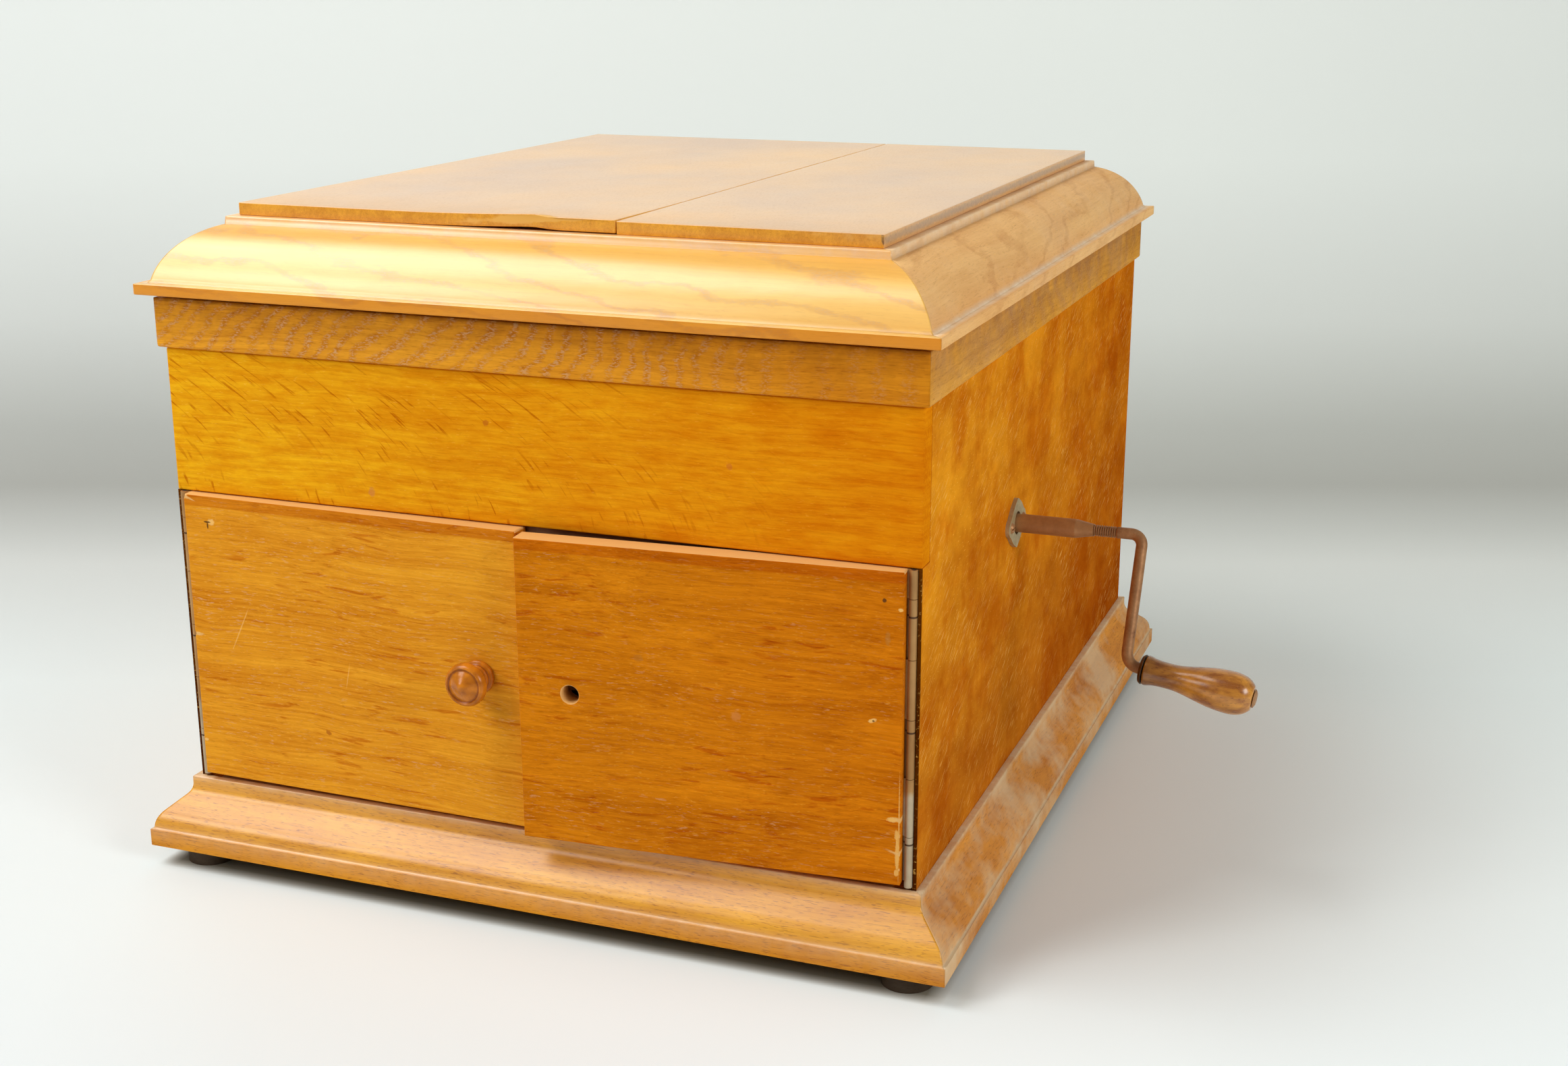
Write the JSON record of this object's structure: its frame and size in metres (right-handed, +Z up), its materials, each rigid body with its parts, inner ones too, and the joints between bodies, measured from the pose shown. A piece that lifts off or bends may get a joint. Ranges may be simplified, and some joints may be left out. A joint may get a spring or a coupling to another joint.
{
  "type": "gramophone cabinet",
  "caption": "Oak table-top gramophone: moulded plinth, domed lid, doors over the horn mouth, wind-up motor with crank, turntable and tone arm.",
  "frame": {"origin": "middle of the base board's and plinth's flat underside; the feet reach below it", "axes": "+Z up, -Y the front with the doors, +X the side with the crank"},
  "size_m": [0.5637, 0.5305, 0.3548],
  "materials": {
    "oak": "satin varnish on quarter-sawn oak",
    "oak_brown": "satin varnish, darker",
    "oak_top": "worn satin varnish, paler",
    "oak_door": "satin varnish on straight-grained oak",
    "case_inner": "stained, unvarnished",
    "deck": "satin varnish",
    "horn_wood": "dark stain",
    "feet": "dark stain",
    "turned_wood": "gloss varnish",
    "hinge_metal": "dull, rust-spotted nickel plate",
    "hardware": "bright steel",
    "nickel": "nickel plate",
    "escutcheon": "worn nickel over brass",
    "crank_steel": "rusty",
    "ferrule": "dark patina",
    "motor_iron": "black japanned",
    "motor_brass": "machined",
    "spring_steel": "blued",
    "platter": "dull plate",
    "felt": "felt"
  },
  "bodies": {
    "case": {"base_board": "case_inner", "plinth_front": "oak", "plinth_right": "oak", "plinth_back": "oak", "plinth_left": "oak", "feet": "feet", "side_left": "oak", "side_right": "oak", "back_board": "case_inner", "front_fascia": "oak", "bottom_rail": "oak", "horn_mouth_board": "case_inner", "deck_cleats": "case_inner", "motor_board": "deck", "lid_hinge_case_leaves": "hardware", "hinge_pins": "hardware", "lid_stay_guide": "hardware", "door_hinge_case_leaves": "hinge_metal", "crank_escutcheon": "escutcheon", "escutcheon_screws": "hardware", "motor_frame": "motor_iron", "tone_arm_base": "nickel", "throat_elbow": "motor_iron", "horn_boards": "horn_wood", "needle_cup": "nickel"},
    "lid": {"lid_band_front": "oak_brown", "lid_band_right": "oak_brown", "lid_band_back": "oak_brown", "lid_band_left": "oak_brown", "lid_moulding_front": "oak", "lid_moulding_right": "oak", "lid_moulding_back": "oak", "lid_moulding_left": "oak", "lid_top_left": "oak_top", "lid_top_right": "oak_top", "lid_hinge_lid_leaves": "hardware", "lid_stay": "hardware"},
    "left_door_body": {"left_door": "oak_door", "door_knob": "turned_wood", "left_door_hinge_leaf": "hinge_metal"},
    "right_door_body": {"right_door": "oak_door", "right_door_hinge_leaf": "hinge_metal"},
    "crank": {"winding_shaft": "hardware", "crank_sleeve": "crank_steel", "crank_rod": "crank_steel", "crank_ferrule": "ferrule"},
    "handle": {"crank_handle": "turned_wood"},
    "arbor": {"barrel_arbor": "hardware"},
    "barrel": {"spring_barrel": "motor_brass", "mainspring": "spring_steel"},
    "intermediate": {"intermediate_wheel": "hardware"},
    "table": {"turntable_spindle": "hardware", "turntable": "platter", "turntable_felt": "felt"},
    "governor_body": {"governor": "motor_brass"},
    "arm": {"tone_arm": "nickel"},
    "reproducer": {"sound_box": "nickel", "needle": "hardware"},
    "brake": {"brake_lever": "nickel"},
    "speed": {"speed_lever": "nickel"}
  },
  "joints": [
    {"name": "lid_hinge", "type": "hinge", "parent": "case", "child": "lid", "pos_m": [0, 0.2473, 0.27231], "axis": [-1, 0, 0], "range_deg": [0, 75]},
    {"name": "left_door_hinge", "type": "hinge", "parent": "case", "child": "left_door_body", "pos_m": [-0.1986, -0.241, 0.12], "axis": [0, 0, -1], "range_deg": [-0.8, 109.2]},
    {"name": "right_door_hinge", "type": "hinge", "parent": "case", "child": "right_door_body", "pos_m": [0.1986, -0.241, 0.12], "axis": [0, 0, 1], "range_deg": [-3.7, 106.3]},
    {"name": "crank_turn", "type": "hinge", "parent": "case", "child": "crank", "pos_m": [0.2025, -0.07, 0.17371], "axis": [1, 0, 0], "continuous": true},
    {"name": "arbor_turn", "type": "hinge", "parent": "case", "child": "arbor", "pos_m": [0, -0.034, 0.17371], "axis": [1, 0, 0], "continuous": true},
    {"name": "handle_spin", "type": "hinge", "parent": "crank", "child": "handle", "pos_m": [0.27889, -0.10239, 0.11175], "axis": [0.9903, -0.0645, -0.1233], "continuous": true},
    {"name": "turntable_spin", "type": "hinge", "parent": "case", "child": "table", "pos_m": [-0.025, -0.07, 0.25311], "axis": [0, 0, 1], "continuous": true},
    {"name": "barrel_turn", "type": "hinge", "parent": "case", "child": "barrel", "pos_m": [0, -0.034, 0.17371], "axis": [1, 0, 0], "continuous": true},
    {"name": "intermediate_turn", "type": "hinge", "parent": "case", "child": "intermediate", "pos_m": [0, -0.0477, 0.1388], "axis": [1, 0, 0], "continuous": true},
    {"name": "governor_turn", "type": "hinge", "parent": "case", "child": "governor_body", "pos_m": [-0.0443, -0.07, 0.18971], "axis": [0, 1, 0], "continuous": true},
    {"name": "tone_arm_swing", "type": "hinge", "parent": "case", "child": "arm", "pos_m": [0.12, 0.11, 0.29111], "axis": [0, 0, -1], "range_deg": [-2, 26]},
    {"name": "sound_box_lift", "type": "hinge", "parent": "arm", "child": "reproducer", "pos_m": [0.13045, 0.01055, 0.29111], "axis": [-0.1045, 0.9945, 0], "range_deg": [0, 40]},
    {"name": "brake_swing", "type": "hinge", "parent": "case", "child": "brake", "pos_m": [-0.16, -0.19, 0.23211], "axis": [0, 0, 1], "range_deg": [0, 12]},
    {"name": "speed_swing", "type": "hinge", "parent": "case", "child": "speed", "pos_m": [0.095, -0.2, 0.23211], "axis": [0, 0, 1], "range_deg": [-30, 30]}
  ],
  "couplings": [
    {"joint": "arbor_turn", "follows": "crank_turn", "ratio": -0.33333},
    {"joint": "intermediate_turn", "follows": "turntable_spin", "ratio": 0.16667},
    {"joint": "barrel_turn", "follows": "turntable_spin", "ratio": -0.041667},
    {"joint": "governor_turn", "follows": "turntable_spin", "ratio": 9.3333}
  ]
}
